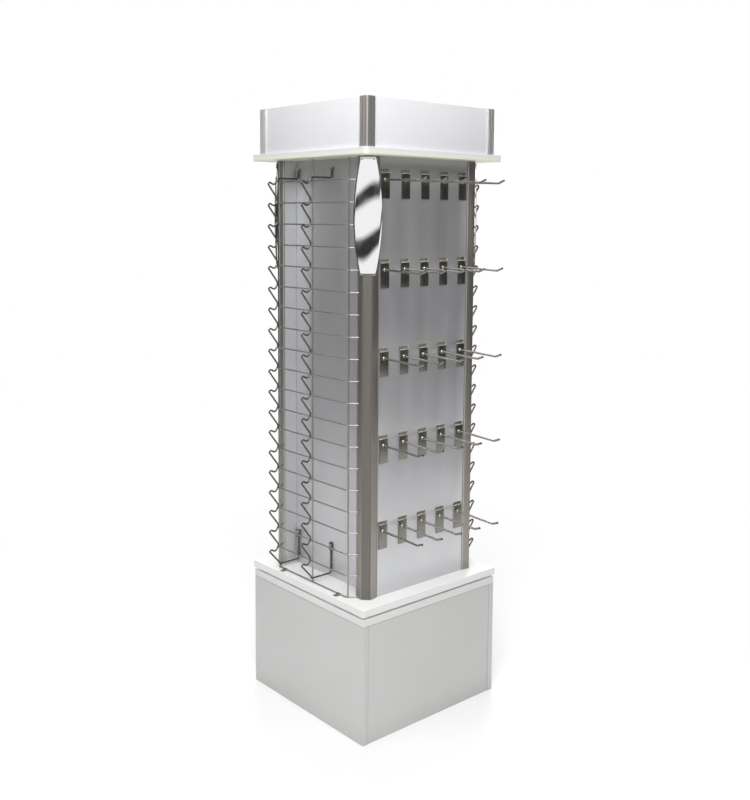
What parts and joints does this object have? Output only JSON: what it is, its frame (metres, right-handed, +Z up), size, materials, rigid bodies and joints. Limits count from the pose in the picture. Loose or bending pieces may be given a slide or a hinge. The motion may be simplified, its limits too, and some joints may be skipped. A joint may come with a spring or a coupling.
{
  "type": "eyeglass display rack",
  "caption": "Rotating floor display for eyeglasses: cabinet base, turntable, four-sided tower with wire racks, display hooks, corner mirrors and header sign box.",
  "frame": {"origin": "on the floor, on the turntable axis, in the middle of the cabinet's underside", "axes": "+Z up along the turntable axis; the first wire rack faces -Y and the hook panel faces +X"},
  "size_m": [0.6047, 0.5354, 1.676],
  "materials": {
    "lacquered_board": "satin light grey lacquer",
    "white_board": "white gloss laminate",
    "pearl_panel": "pearl silver laminate",
    "brushed_aluminium": "brushed, warm grey anodised",
    "bright_aluminium": "satin, ribbed",
    "mirror_steel": "mirror polish",
    "white_acrylic": "opal white acrylic",
    "chrome_wire": "chrome plated steel",
    "zinc_plate": "zinc plated"
  },
  "bodies": {
    "cabinet": {"cabinet_bottom_board": "lacquered_board", "cabinet_panel_front": "lacquered_board", "cabinet_panel_right": "lacquered_board", "cabinet_panel_back": "lacquered_board", "cabinet_panel_left": "lacquered_board", "cabinet_top_board": "lacquered_board", "turntable_bearing": "zinc_plate"},
    "tower": {"plinth_slab": "white_board", "canopy_board": "white_board", "corner_column_front_right": "brushed_aluminium", "corner_mirror_front_right": "mirror_steel", "header_post_front_right": "bright_aluminium", "corner_column_back_right": "brushed_aluminium", "corner_mirror_back_right": "mirror_steel", "header_post_back_right": "bright_aluminium", "corner_column_back_left": "brushed_aluminium", "corner_mirror_back_left": "mirror_steel", "header_post_back_left": "bright_aluminium", "corner_column_front_left": "brushed_aluminium", "corner_mirror_front_left": "mirror_steel", "header_post_front_left": "bright_aluminium", "header_panel_front": "white_acrylic", "header_panel_right": "white_acrylic", "header_panel_back": "white_acrylic", "header_panel_left": "white_acrylic", "rack_panel_front": "pearl_panel", "rack_panel_back": "pearl_panel", "hook_panel": "pearl_panel", "plain_panel": "pearl_panel", "rack_grid_front": "chrome_wire", "rack_zigzag_front_1": "chrome_wire", "rack_zigzag_front_2": "chrome_wire", "rack_grid_back": "chrome_wire", "rack_zigzag_back_1": "chrome_wire", "rack_zigzag_back_2": "chrome_wire", "hook_1_1": "chrome_wire", "hook_1_2": "chrome_wire", "hook_1_3": "chrome_wire", "hook_1_4": "chrome_wire", "hook_1_5": "chrome_wire", "hook_2_1": "chrome_wire", "hook_2_2": "chrome_wire", "hook_2_3": "chrome_wire", "hook_2_4": "chrome_wire", "hook_2_5": "chrome_wire", "hook_3_1": "chrome_wire", "hook_3_2": "chrome_wire", "hook_3_3": "chrome_wire", "hook_3_4": "chrome_wire", "hook_3_5": "chrome_wire", "hook_4_1": "chrome_wire", "hook_4_2": "chrome_wire", "hook_4_3": "chrome_wire", "hook_4_4": "chrome_wire", "hook_4_5": "chrome_wire", "hook_5_1": "chrome_wire", "hook_5_2": "chrome_wire", "hook_5_3": "chrome_wire", "hook_5_4": "chrome_wire", "hook_5_5": "chrome_wire"}
  },
  "joints": [
    {"name": "turntable_spin", "type": "hinge", "parent": "cabinet", "child": "tower", "pos_m": [0, 0, 0.3445], "axis": [0, 0, 1], "continuous": true}
  ]
}
